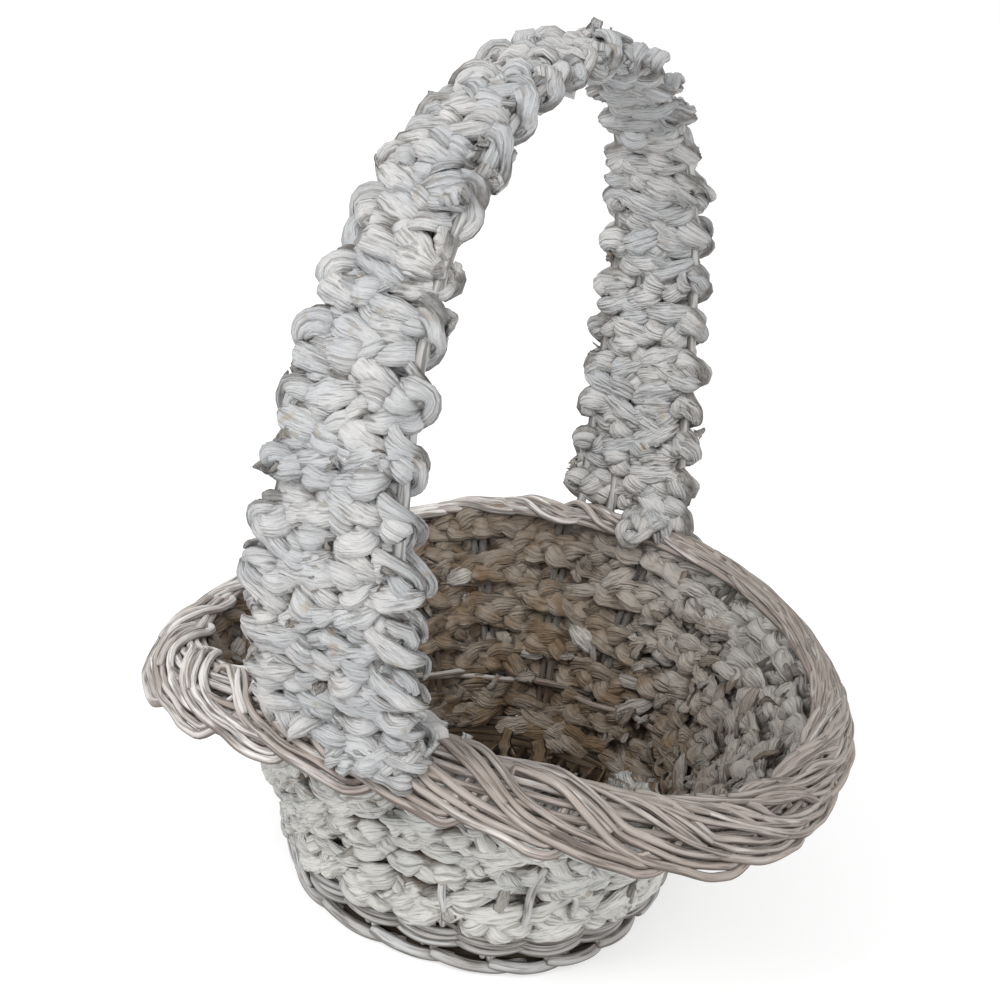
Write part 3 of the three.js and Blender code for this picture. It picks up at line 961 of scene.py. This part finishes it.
def add_rim():
    """Three strands of parallel rods, plaited flat, with cut ends here and there."""
    turns = np.linspace(0, 1, 640, endpoint=False)
    for strand in range(3):
        rng = np.random.default_rng(71 + strand)
        skin = Skin()
        side, rise, tight = rim_strand(strand, turns)
        _, facing = rim_place(turns, side)
        path = rim_line(turns, side, rise)
        beside = unit(np.cross(facing, slope(path, closed=True)))
        for k, radius in enumerate(STRAND_RODS):
            apart = STRAND_SPACING * (k - 1) * tight
            spread = apart * (1 + ring_wobble(rng, turns, 9, 0.12)) + ring_wobble(rng, turns, 22, 0.5)
            loft = ring_wobble(rng, turns, 26, 0.5) - 1.3 * (k - 1) * clamp(side)
            line = path + beside * spread[:, None] + facing * loft[:, None]
            rod(skin, line[::4], radius * rng.uniform(0.92, 1.04), rng, closed=True, fine=4)
        for crossing in range(strand, 3 * RIM_TURNS, 3):
            cut = (crossing + 0.65 + rng.uniform(-0.06, 0.1)) / (3 * RIM_TURNS)
            rise = RIM_LIFT * np.array([0.2, 0.9, 1.2, 1.25, 1.15, 0.9])
            line = rim_line(cut + np.linspace(-0.034, 0, 6), np.linspace(-0.8, 0.36, 6), rise)
            rod(skin, line, rng.uniform(1.4, 1.9), rng)
        steady = turns[::4]
        for edge_side, edge_rise, radius in RIM_UNDERLAY[strand]:
            side = edge_side + ring_wobble(rng, steady, 11, 0.04)
            height = edge_rise + ring_wobble(rng, steady, 17, 0.3)
            rod(skin, rim_line(steady, side, height), radius, rng, closed=True, fine=4, hidden=0.15)
        if strand == 1:
            add_sloping_runs(skin, rng)
            add_level_runs(skin, rng)
        name = f"rim_strand_{strand + 1}"
        skin.build(f"{name}_rods", painted_willow, name)


def add_sloping_runs(skin, rng):
    """Long thin rods over the plait at the right-hand end, from its inner edge to its outer."""
    t = np.linspace(0, 1, 14)
    for k in range(18):
        start = -0.2 + 0.0145 * k + rng.uniform(-0.006, 0.006)
        share = np.linspace(0, 0.13 * rng.uniform(0.85, 1.2), 14)
        side = np.interp(t, [0, 0.35, 1], [-0.98, -0.62, 0.78]) + wobble(rng, share, 0.08, 0.05)
        rise = RIM_LIFT * np.interp(t, [0, 0.12, 0.5, 0.85, 1], [-0.2, 1.1, 1.6, 1.35, -0.1])
        rod(skin, rim_line(start + share, side, rise), rng.uniform(1.15, 1.7), rng)


def add_level_runs(skin, rng):
    """More long thin rods there, side by side and nearly along the rim."""
    t = np.linspace(0, 1, 16)
    for k in range(15):
        share = np.linspace(rng.uniform(0.0, 0.07), rng.uniform(0.2, 0.236), 16)
        side = -1.0 + 0.11 * k + 0.3 * t + wobble(rng, share, 0.1, 0.05)
        rise = RIM_LIFT * np.interp(t, [0, 0.1, 0.9, 1], [-0.3, 1.0, 1.25, 0.2])
        line = rim_line(share, side, rise + wobble(rng, share, 0.07, 0.5))
        rod(skin, line, rng.uniform(1.1, 1.65), rng)


# ---- Handle ----
strap_left = spline([(left, y, z) for left, _, y, z in STRAP], fine=24)
strap_right = spline([(right, y, z) for _, right, y, z in STRAP], fine=24)
strap_middle = (strap_left + strap_right) / 2
strap_far = travelled(strap_middle)
STRAP_LENGTH = strap_far[-1]


def strap_point(line, far):
    return np.stack([np.interp(far, strap_far, column) for column in line.T], axis=-1)


def strap_place(far, across, proud):
    """A point on the handle: far along it, across it from -1 to 1, and proud of its middle surface."""
    left, right = strap_point(strap_left, far), strap_point(strap_right, far)
    share = (np.asarray(across)[..., None] + 1) / 2
    step = 4.0
    along = unit(strap_point(strap_middle, far + step) - strap_point(strap_middle, far - step))
    out = unit(np.cross(RIGHTWARD, along))
    return left * (1 - share) + right * share + out * np.asarray(proud)[..., None], along


def row_places():
    """Distances along the handle of the husk's rows, closer together near the feet."""
    places = []
    far = 9.0
    while far < STRAP_LENGTH - 4:
        places.append(far)
        from_foot = min(far, STRAP_LENGTH - far)
        far += 9.6 + 2.4 * min(from_foot / 190, 1)
    return places


def half_width(far):
    return float(strap_point(strap_right, far)[0] - strap_point(strap_left, far)[0]) / 2


def add_core_rods():
    rng = np.random.default_rng(81)
    far = np.linspace(0, STRAP_LENGTH, 60)
    for i, place in enumerate(CORE_PLACES):
        skin = Skin()
        path, _ = strap_place(far, np.full(far.shape, place), wobble(rng, far, 90, 0.5))
        rod(skin, path, CORE_ROD / 2, rng, normal=(1, 0, 0), hidden=0.05, sides=12)
        skin.build(f"handle_core_{i + 1}", white_willow, f"handle_rod_{i + 1}")


def weave_course(rows, rng):
    """The husk's way back and forth over and under the core rods, as [far, across, proud] points.

    Its last rows, just above the far rim, go round the right-hand rods only.
    """
    points = []
    climb = 1.5  # how much farther along each crossing is than the one before it
    to_next = 6.24  # from a row to the turn between it and the next
    for number, far in rows:
        rightward = number % 2 == 0
        proud = np.interp(far, [90, 200, 420, 520], [3.0, 4.4, 4.4, 3.4])
        places = CORE_PLACES if far < STRAP_LENGTH - 26 else CORE_PLACES[2:]
        places = places if rightward else places[::-1]
        half = half_width(far)
        for j, place in enumerate(places):
            lift = proud if j % 2 == 0 else -proud
            rise = climb * (j - 1.5) + rng.uniform(-1, 1)
            points.append((far + rise, place, lift * rng.uniform(0.8, 1.2)))
        turn = (0.2 * half - 2.8) / half + rng.uniform(-0.8, 1.8) / half
        points.append((far + to_next, places[-1] + (turn if rightward else -turn), rng.uniform(-1, 1)))
    return points


STRAP_FOLD_ALONG = np.array([-0.5, -0.26, 0.06, 0.34, 0.5])
STRAP_FOLD_ARCH = np.array([0.05, 0.85, 1.0, 0.85, 0.05])


def strap_leaf(skin, rng, far, across, proud, length, degrees, width):
    """A fold of husk lying on the handle; proud is negative on its inner face."""
    tilt = radians(degrees)
    run = length * STRAP_FOLD_ALONG
    places = np.clip(far + run * sin(tilt), 0, STRAP_LENGTH)
    sideways = np.clip(across + run * cos(tilt) / half_width(far), -1.15, 1.15)
    path, _ = strap_place(places, sideways, proud * STRAP_FOLD_ARCH)
    flat, _ = strap_place(places, sideways, 0 * STRAP_FOLD_ARCH)
    leaf(skin, path, unit((path - flat)[2]), width, rng)


def add_handle_leaves(skin, rows, rng):
    """Folds over the core rods where the weave dives behind them; fewer at the edges, where it loops back."""
    for number, far in rows:
        places = CORE_PLACES if number % 2 == 0 else CORE_PLACES[::-1]
        for j, place in enumerate(places):
            if far > STRAP_LENGTH - 34 and place < 0:
                continue
            face = -1 if j % 2 == 0 else 1
            edge = abs(place) > 0.7 and far > 110
            bare = 0.8 if edge and place > 0 else 0.55 if edge else 0.05
            if rng.uniform() > bare:
                tilt = rng.choice([-1, 1], p=[0.7, 0.3]) * rng.uniform(6, 34)
                sideways = place * (0.86 if edge else 1) + rng.uniform(-0.08, 0.08)
                length = rng.uniform(19, 25) if edge else rng.uniform(24, 33)
                lift = face * rng.uniform(4.4, 5.8)
                spot = far + rng.uniform(-1.5, 1.5)
                strap_leaf(skin, rng, spot, sideways, lift, length, tilt, rng.uniform(9, 12.5))
        for face in (-1, 1):
            if rng.uniform() < 0.6 and far < STRAP_LENGTH - 40:
                tilt = rng.uniform(-40, 30)
                sideways = rng.uniform(-0.45, 0.45)
                lift = face * rng.uniform(4.6, 6.0)
                length = rng.uniform(18, 26)
                strap_leaf(skin, rng, far + 5.5, sideways, lift, length, tilt, rng.uniform(8, 10.5))


def add_tuft(skin, rng, far, across, proud, count, length, tan):
    """Torn ends of husk sticking out of the weave."""
    face = 1 if proud > 0 else -1
    root, along = strap_place(far, across, proud)
    flat, _ = strap_place(far, across, 0)
    out = face * unit(root - flat)
    sideways = RIGHTWARD * across
    for _ in range(count):
        lean = out * rng.uniform(0.4, 1.0) + sideways * rng.uniform(0, 1.2) + along * rng.uniform(-1.1, 1.1)
        spot = root - 1.5 * out + rng.uniform(-1.5, 1.5, 3)
        blade(skin, spot, lean, along, length * rng.uniform(0.6, 1.1), rng.uniform(2.5, 6), rng, 0.7, tan)


# Where husk ends stick out most, as [far, across, proud, count, length, tan].
TUFTS = [
    (376, 0.05, 6, 4, 12, 0.1), (383, 0.3, 6, 3, 9, 0.1), (244, -0.95, 2, 3, 9, 0.25),
    (277, -0.92, 2, 3, 8, 0.2), (246, 0.98, 2, 3, 8, 0.2), (657, -1.0, 2, 6, 11, 0.4),
    (651, -0.95, 2, 3, 9, 0.3), (235, 0.8, 5, 3, 8, 0.3), (50, -0.98, 3, 2, 8, 0.3),
    (70, -0.35, 6, 2, 5, 0.5), (124, -0.98, 2, 2, 7, 0.3), (160, -0.95, 2, 2, 7, 0.3),
    (520, 0.9, 2, 3, 8, 0.2), (590, -0.9, 2, 2, 8, 0.2), (450, 0.92, 2, 2, 8, 0.2),
    (18, 0.92, 4, 3, 9, 0.2), (8, 0.98, 3, 3, 8, 0.3),
]


# The near foot's husk over the rim, as plaits at [side, start, end] and folds at [share, low, high, width].
FRONT_FOOT_PLAITS = [(-0.8, 0.692, 0.776), (-0.35, 0.698, 0.779), (0.1, 0.722, 0.78), (0.42, 0.742, 0.776)]
FRONT_FOOT_LEAVES = [
    (0.69, -1.1, -0.1, 12), (0.7, -0.7, 0.25, 12), (0.714, -0.5, 0.42, 11), (0.728, -0.2, 0.52, 11),
    (0.742, -0.2, 0.6, 11), (0.757, 0.0, 0.66, 11), (0.77, -0.3, 0.62, 12),
]
# Folds at the far foot, as [share, low, high, lift] on the rim and [degrees, from the handle's end] above it.
BACK_RIM_LEAVES = [
    (0.226, -1.0, 0.35, 7.5), (0.222, -0.85, 0.6, 7.0), (0.214, -0.2, 0.9, 5.5), (0.232, -0.5, 0.8, 6.5),
]
BACK_STRAP_LEAVES = [(-20, 9), (25, 14), (-35, 20)]
# Folds that stand highest on the crown, as [degrees, across, far].
CROWN_LEAVES = [(50, 0.0, 380), (-35, 0.25, 377), (10, -0.2, 383), (70, 0.35, 384)]


def add_front_foot(skin, rng):
    """The husk of the near foot lies over the rim's inner part."""
    step = 1.35
    for side, start, end in FRONT_FOOT_PLAITS:
        share = np.linspace(start, end, 24)
        place, facing = rim_place(share, side + wobble(rng, share, 0.05, 0.04))
        lift = np.interp(share, [start, start + 0.008, end - 0.008, end], [0.5, 4.6, 4.6, 0.5])
        across = unit(np.cross(slope(place), facing))
        line = even_steps(np.hstack([place + facing * lift[:, None], across]), step)
        plait(skin, line[:, :3], line[:, 3:], rng, 16.5, 48, step, lift=1.9)
    for share, low, high, width in FRONT_FOOT_LEAVES:
        rim_leaf(skin, rng, share, low, high, 6.4, width, 0.016)


def rim_leaf(skin, rng, share, low, high, lift, width, skew):
    """A fold of husk lying across the rim, from side low to side high."""
    t = np.array([0, 0.25, 0.55, 0.8, 1.0])
    shares = share + rng.uniform(-0.004, 0.004) + skew * (t - 0.5) * rng.choice([-1, 1])
    place, facing = rim_place(shares, low + (high - low) * t)
    rise = lift * np.array([0.0, 0.85, 1.0, 0.85, 0.1])
    leaf(skin, place + facing * rise[:, None], facing[2], width, rng)


def add_back_knot(skin, rng):
    """Husk loops that tie the far foot's right-hand side to the rim's inner edge."""
    share = np.array([0.214, 0.217, 0.221, 0.226, 0.231, 0.234, 0.234, 0.231])
    side = np.array([0.7, 0.1, -0.6, -1.15, -1.2, -0.7, 0.0, 0.6])
    rise = np.array([1.5, 5.2, 5.8, 3.2, 3.0, 5.8, 6.2, 2.0])
    step = 1.3
    place, facing = rim_place(share, side)
    knots = even_steps(spline(np.hstack([place + facing * rise[:, None], facing]), fine=8), step)
    across = unit(np.cross(slope(knots[:, :3]), knots[:, 3:]))
    plait(skin, knots[:, :3], across, rng, 11.0, 34, step, sides=18, depth=4.0, lift=1.5, tan=handle_tan)
    for share, low, high, lift in BACK_RIM_LEAVES:
        rim_leaf(skin, rng, share, low, high, lift, 10, 0.026)
    for degrees, from_end in BACK_STRAP_LEAVES:
        strap_leaf(skin, rng, STRAP_LENGTH - from_end, 0.55, 5.0, 27, degrees, 11.5)
        strap_leaf(skin, rng, STRAP_LENGTH - from_end, 0.5, -5.0, 26, -degrees, 11.5)


def add_weave():
    """The husk's plait round the core rods, in three stretches, and the folds and torn ends on it."""
    rows = list(enumerate(row_places()))
    names = ("handle_weave_front", "handle_weave_crown", "handle_weave_back")
    joints = (0, 0.31 * STRAP_LENGTH, 0.69 * STRAP_LENGTH, STRAP_LENGTH)
    for order, (name, low, high) in enumerate(zip(names, joints, joints[1:])):
        rng = np.random.default_rng(91 + order)
        stretch = [row for row in rows if low <= row[1] < high]
        skin = Skin()
        add_weave_plait(skin, stretch, rng)
        skin.build(f"{name}_plait", painted_husk, name)
        skin = Skin()
        add_handle_leaves(skin, stretch, rng)
        for tuft in TUFTS:
            if low <= tuft[0] < high:
                add_tuft(skin, rng, *tuft)
        for _ in range(int((high - low) / 9)):
            far = rng.uniform(low, high - 30)
            proud = rng.choice([-4.8, 4.8])
            across, length, tan = rng.uniform(-0.95, 0.95), rng.uniform(3.5, 6), rng.uniform(0.1, 0.6)
            add_tuft(skin, rng, far, across, proud, 2, length, tan)
        if name == "handle_weave_crown":
            for degrees, sideways, far in CROWN_LEAVES:
                strap_leaf(skin, rng, far, sideways, 9.5, 21, degrees, 9.5)
        if name == "handle_weave_front":
            add_front_foot(skin, rng)
        if name == "handle_weave_back":
            add_back_knot(skin, rng)
        skin.build(f"{name}_leaves", painted_husk, name)


def add_weave_plait(skin, stretch, rng):
    """Narrower at the handle's edges, where the plait turns back."""
    step = 1.45
    course = spline(weave_course(stretch, rng), fine=10)
    path, along = strap_place(course[:, 0], course[:, 1], course[:, 2])
    out = np.cross(RIGHTWARD, along)
    line = even_steps(np.hstack([path, out, np.abs(course[:, 1:2])]), step)
    face = np.cross(slope(line[:, :3]), line[:, 3:6])
    width = np.interp(line[:, 6], [0.7, 0.95], [18.5, 12.5])
    plait(skin, line[:, :3], face, rng, width, 52, step, tan=handle_tan)


# ---- Scraps ----
def add_inner_scraps():
    """Torn brown ends of husk inside the bowl, thickest at its right-hand end and low down."""
    rng = np.random.default_rng(111)
    skin = Skin()
    for _ in range(260):
        right = rng.uniform() < 0.7
        angle = radians(rng.uniform(-75, 75) if right else rng.uniform(75, 285))
        up = rng.uniform(0.12, 0.98)
        around, climb, out = wall_frame(up, angle)
        root = wall_point(up, angle) - out * rng.uniform(4.5, 7)
        lean = -out * rng.uniform(0, 0.7) + climb * rng.uniform(-1, 1) + around * rng.uniform(-1, 1)
        tan = rng.uniform(0.55, 1.0) if up < 0.6 else rng.uniform(0.35, 0.9)
        blade(skin, root, lean, out, rng.uniform(5, 13), rng.uniform(2.5, 6.5), rng, 0.8, tan)
    for _ in range(70):
        spread = rng.uniform(0, 2 * pi)
        share = np.sqrt(rng.uniform())
        root = np.array([74 * share * np.cos(spread), 76 * share * np.sin(spread), 13.5])
        lean = [rng.uniform(-1, 1), rng.uniform(-1, 1), rng.uniform(0.0, 0.5)]
        blade(skin, root, lean, UPWARD, rng.uniform(8, 18), rng.uniform(4, 9), rng, 0.5, 1.2)
    skin.build("inner_scraps", bowl_husk, "husk_row_1")


# Husk ends that show over the rim's inner edge, as [share, count, length, width, tan].
RIM_SCRAPS = [
    (0.79, 1, 8, 9, 0.05), (0.873, 4, 13, 8, 0.25), (0.84, 2, 8, 3, 0.3), (0.905, 3, 8, 5, 0.5),
    (0.93, 3, 9, 5, 0.6), (0.96, 3, 8, 5, 0.5), (0.68, 3, 10, 6, 0.4), (0.62, 2, 7, 4, 0.5),
]
# Scraps outside the bowl, as [degrees round it, up], and loose rods there, as [degrees, low, high, outward].
WALL_SCRAPS = [(281, 0.3), (297, 0.45), (330, 0.62), (318, 0.3), (262, 0.4), (305, 0.78), (340, 0.4)]
SPARE_RODS = [
    (304, 0.2, 0.58, 5.8), (281.5, 0.16, 0.44, 5.6), (236, 0.0, 0.5, 5.4), (229, 0.0, 0.42, 5.2),
    (318, 0.22, 0.48, 5.4), (340, 0.12, 0.36, 5.4),
]


def add_outer_scraps():
    """Husk ends that show over the front rim and on the outside of the bowl."""
    rng = np.random.default_rng(121)
    skin = Skin()
    for share, count, length, width, tan in RIM_SCRAPS:
        for _ in range(count):
            place, facing = rim_place(share + rng.uniform(-0.006, 0.006), -1.0)
            ahead = unit(np.cross(facing, UPWARD))
            lean = UPWARD + rng.uniform(-0.4, 0.4, 3) + 0.6 * facing * rng.uniform(0, 1)
            length_now = length * rng.uniform(0.8, 1.1)
            blade(skin, place - 3 * UPWARD, lean, facing + 0.2 * ahead, length_now, width, rng, 0.3, tan)
    for degrees, up in WALL_SCRAPS:
        around, climb, out = wall_frame(up, radians(degrees))
        root = wall_point(up, radians(degrees)) + out * 4.6
        lean = climb * rng.uniform(-1, 1) + around * rng.uniform(-0.6, 0.6) + out * 0.2
        blade(skin, root, lean, out, rng.uniform(9, 14), rng.uniform(4, 6), rng, 0.25, 0.35)
    skin.build("outer_scraps", bowl_husk, "husk_row_8")
    skin = Skin()
    for degrees, low, high, outward in SPARE_RODS:
        up = np.linspace(low, high, 6)
        angle = radians(degrees) + 0.008 * np.sin(np.linspace(0, 2, 6) * pi)
        _, _, out = wall_frame(up, angle)
        bow = outward - 2.5 * np.abs(np.linspace(-1, 1, 6)) ** 3
        rod(skin, wall_point(up, angle) + out * bow[:, None], 1.9, rng, normal=out[2])
    skin.build("spare_rods", white_willow, "stake_pair_01")


add_husk_rows()
add_wales()
add_stakes()
add_foot()
add_base()
add_rim()
add_core_rods()
add_weave()
add_inner_scraps()
add_outer_scraps()


# ---- Floor, light and camera ----
WHITE = (1, 1, 1, 1)


def stand(thing, across, over, back, place):
    """Puts a lamp or camera at a place in metres, with its own x, y and z along those directions."""
    turned = np.stack([across, over, back, place], axis=1)
    thing.matrix_world = Matrix([*turned, (0, 0, 0, 1)])


def add_floor():
    """A pale floor, lifted by its own light so that it fades into the background."""
    far = 60.0
    mesh = bpy.data.meshes.new("floor")
    mesh.from_pydata([(-far, -far, 0), (far, -far, 0), (far, far, 0), (-far, far, 0)], [], [(0, 1, 2, 3)])
    nodes = Nodes("floor")
    speckle = nodes.noise(nodes.place(), 3.0, 2.0)
    looks = {
        "Base Color": nodes.mix(speckle, (0.49, 0.49, 0.49, 1), (0.51, 0.51, 0.51, 1)),
        "Emission Color": WHITE,
        "Emission Strength": 0.58,
        "Roughness": 0.9,
    }
    for key, value in looks.items():
        nodes.set(nodes.shader.inputs[key], value)
    mesh.materials.append(nodes.material)
    put_in_scene("floor", mesh)


LIGHTS_AIM = (0, 0, 0.15)


def add_light(name, place, size, power):
    """A soft round lamp, aimed at the middle of the basket."""
    data = bpy.data.lights.new(name, "AREA")
    data.shape = "DISK"
    data.size = size
    data.energy = power
    back = unit(np.array(place) - LIGHTS_AIM)
    across = unit(np.cross(UPWARD, back))
    stand(put_in_scene(name, data), across, np.cross(back, across), back, place)


def add_world():
    world = bpy.data.worlds.new("studio")
    bpy.context.scene.world = world
    world.use_nodes = True
    background = world.node_tree.nodes["Background"]
    background.inputs["Color"].default_value = WHITE
    background.inputs["Strength"].default_value = 0.75


def add_camera():
    """The camera looks from in front and a little to the right, over the rim."""
    azimuth, elevation, roll = radians(24.04), radians(23.6), radians(5.18)
    distance, shift_right, shift_up = 835.8, 7.4, 171.5
    back = np.array([sin(azimuth) * cos(elevation), -cos(azimuth) * cos(elevation), sin(elevation)])
    right = np.array([cos(azimuth), sin(azimuth), 0])
    up = np.cross(back, right)
    across = right * cos(roll) + up * sin(roll)
    over = up * cos(roll) - right * sin(roll)
    place = (shift_right * across + shift_up * over + distance * back) * MM + CENTRE
    data = bpy.data.cameras.new("camera")
    data.sensor_width = 36
    data.lens = 61.6
    data.clip_start = 0.01
    camera = put_in_scene("camera", data)
    stand(camera, across, over, back, place)
    bpy.context.scene.camera = camera


add_floor()
add_world()
add_light("key", (-1.1, -1.5, 1.9), size=1.4, power=44)
add_light("fill", (1.6, -1.0, 0.9), size=1.6, power=17)
add_camera()
bpy.context.scene.view_settings.view_transform = "Standard"
